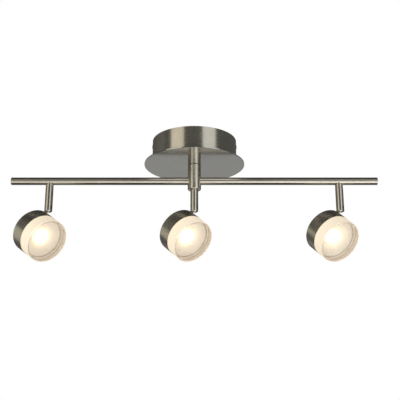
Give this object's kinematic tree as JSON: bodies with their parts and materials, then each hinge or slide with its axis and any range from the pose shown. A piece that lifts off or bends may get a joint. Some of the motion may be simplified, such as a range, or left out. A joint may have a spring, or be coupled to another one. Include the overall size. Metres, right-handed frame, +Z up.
{
  "type": "track lighting fixture",
  "caption": "Ceiling track light: round canopy with a wider trim disc, straight bar on a short stem, and drum-shaped LED spot heads that swivel and tilt on slim arms.",
  "frame": {"origin": "centre of the canopy's rim, on the ceiling plane", "axes": "+Z up into the ceiling, X along the bar, -Y towards the front that the heads face at rest"},
  "size_m": [0.6096, 0.1672, 0.204],
  "materials": {
    "satin_nickel": "satin brushed nickel plate",
    "polished_nickel": "near-mirror nickel plate",
    "zinc_steel": "bright zinc plate",
    "green_steel": "green chromate",
    "brass": "turned brass",
    "white_plastic": "matte moulded",
    "orange_plastic": "matte moulded",
    "circuit_board": "solder mask",
    "lead_insulation": "extruded insulation",
    "heat_sink_aluminium": "as extruded",
    "led_board": "white board with a phosphor-coated emitter",
    "white_reflector": "gloss white",
    "frosted_acrylic": "frosted clear acrylic"
  },
  "bodies": {
    "fixture": {"ceiling_bracket": "zinc_steel", "ground_screw": "green_steel", "canopy_cup": "satin_nickel", "trim_disc": "polished_nickel", "canopy_screws": "satin_nickel", "stem_nipple": "brass", "nipple_nut": "brass", "lock_washer": "zinc_steel", "driver_case": "white_plastic", "driver_board": "circuit_board", "driver_lid": "white_plastic", "driver_screws": "zinc_steel", "wire_connectors": "orange_plastic", "supply_leads": "lead_insulation", "head_leads": "lead_insulation", "stem": "satin_nickel", "swivel_collar": "satin_nickel", "track_bar": "satin_nickel", "bar_end_caps": "satin_nickel", "arm_stubs": "satin_nickel", "swivel_posts": "brass", "swivel_nuts": "zinc_steel"},
    "left_arm": {"left_arm_tube": "satin_nickel", "left_swivel_bush": "brass", "left_knuckle_plug": "zinc_steel", "left_knuckle_pin": "zinc_steel", "left_arm_lead": "lead_insulation"},
    "left_head": {"left_tongue": "satin_nickel", "left_housing": "satin_nickel", "left_heat_sink": "heat_sink_aluminium", "left_led_board": "led_board", "left_reflector": "white_reflector", "left_lens": "frosted_acrylic", "left_head_screws": "zinc_steel"},
    "centre_arm": {"centre_arm_tube": "satin_nickel", "centre_swivel_bush": "brass", "centre_knuckle_plug": "zinc_steel", "centre_knuckle_pin": "zinc_steel", "centre_arm_lead": "lead_insulation"},
    "centre_head": {"centre_tongue": "satin_nickel", "centre_housing": "satin_nickel", "centre_heat_sink": "heat_sink_aluminium", "centre_led_board": "led_board", "centre_reflector": "white_reflector", "centre_lens": "frosted_acrylic", "centre_head_screws": "zinc_steel"},
    "right_arm": {"right_arm_tube": "satin_nickel", "right_swivel_bush": "brass", "right_knuckle_plug": "zinc_steel", "right_knuckle_pin": "zinc_steel", "right_arm_lead": "lead_insulation"},
    "right_head": {"right_tongue": "satin_nickel", "right_housing": "satin_nickel", "right_heat_sink": "heat_sink_aluminium", "right_led_board": "led_board", "right_reflector": "white_reflector", "right_lens": "frosted_acrylic", "right_head_screws": "zinc_steel"}
  },
  "joints": [
    {"name": "left_swivel", "type": "hinge", "parent": "fixture", "child": "left_arm", "pos_m": [-0.2406, 0, -0.1178], "axis": [0, 0, 1], "range_deg": [-226.5, 123.5]},
    {"name": "left_tilt", "type": "hinge", "parent": "left_arm", "child": "left_head", "pos_m": [-0.2406, 0, -0.1178], "axis": [0.6225, 0.7826, 0], "range_deg": [-78.5, 56.5]},
    {"name": "centre_swivel", "type": "hinge", "parent": "fixture", "child": "centre_arm", "pos_m": [0, 0, -0.1178], "axis": [0, 0, 1], "range_deg": [-219, 131]},
    {"name": "centre_tilt", "type": "hinge", "parent": "centre_arm", "child": "centre_head", "pos_m": [0, 0, -0.1178], "axis": [0.7193, 0.6947, 0], "range_deg": [-82.5, 52.5]},
    {"name": "right_swivel", "type": "hinge", "parent": "fixture", "child": "right_arm", "pos_m": [0.2406, 0, -0.1178], "axis": [0, 0, 1], "range_deg": [-209.5, 140.5]},
    {"name": "right_tilt", "type": "hinge", "parent": "right_arm", "child": "right_head", "pos_m": [0.2406, 0, -0.1178], "axis": [0.8241, 0.5664, 0], "range_deg": [-84.5, 50.5]}
  ]
}
